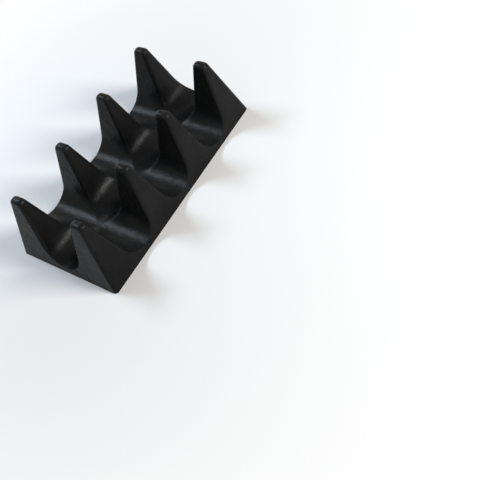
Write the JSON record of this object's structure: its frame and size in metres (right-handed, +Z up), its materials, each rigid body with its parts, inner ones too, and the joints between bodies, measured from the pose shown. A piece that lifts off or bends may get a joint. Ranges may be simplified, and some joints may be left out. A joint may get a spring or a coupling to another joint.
{
  "type": "taco holder",
  "caption": "Moulded stand that keeps filled tacos upright in a row between pairs of tapered posts, with a trough along its middle.",
  "frame": {"origin": "middle of the base, on the table", "axes": "+Z up, +X along the row of tacos, +Y across it, along each taco's fold"},
  "size_m": [0.1794, 0.0904, 0.055],
  "materials": {
    "body": "satin"
  },
  "bodies": {
    "root": {"taco_holder": "body"}
  },
  "joints": []
}
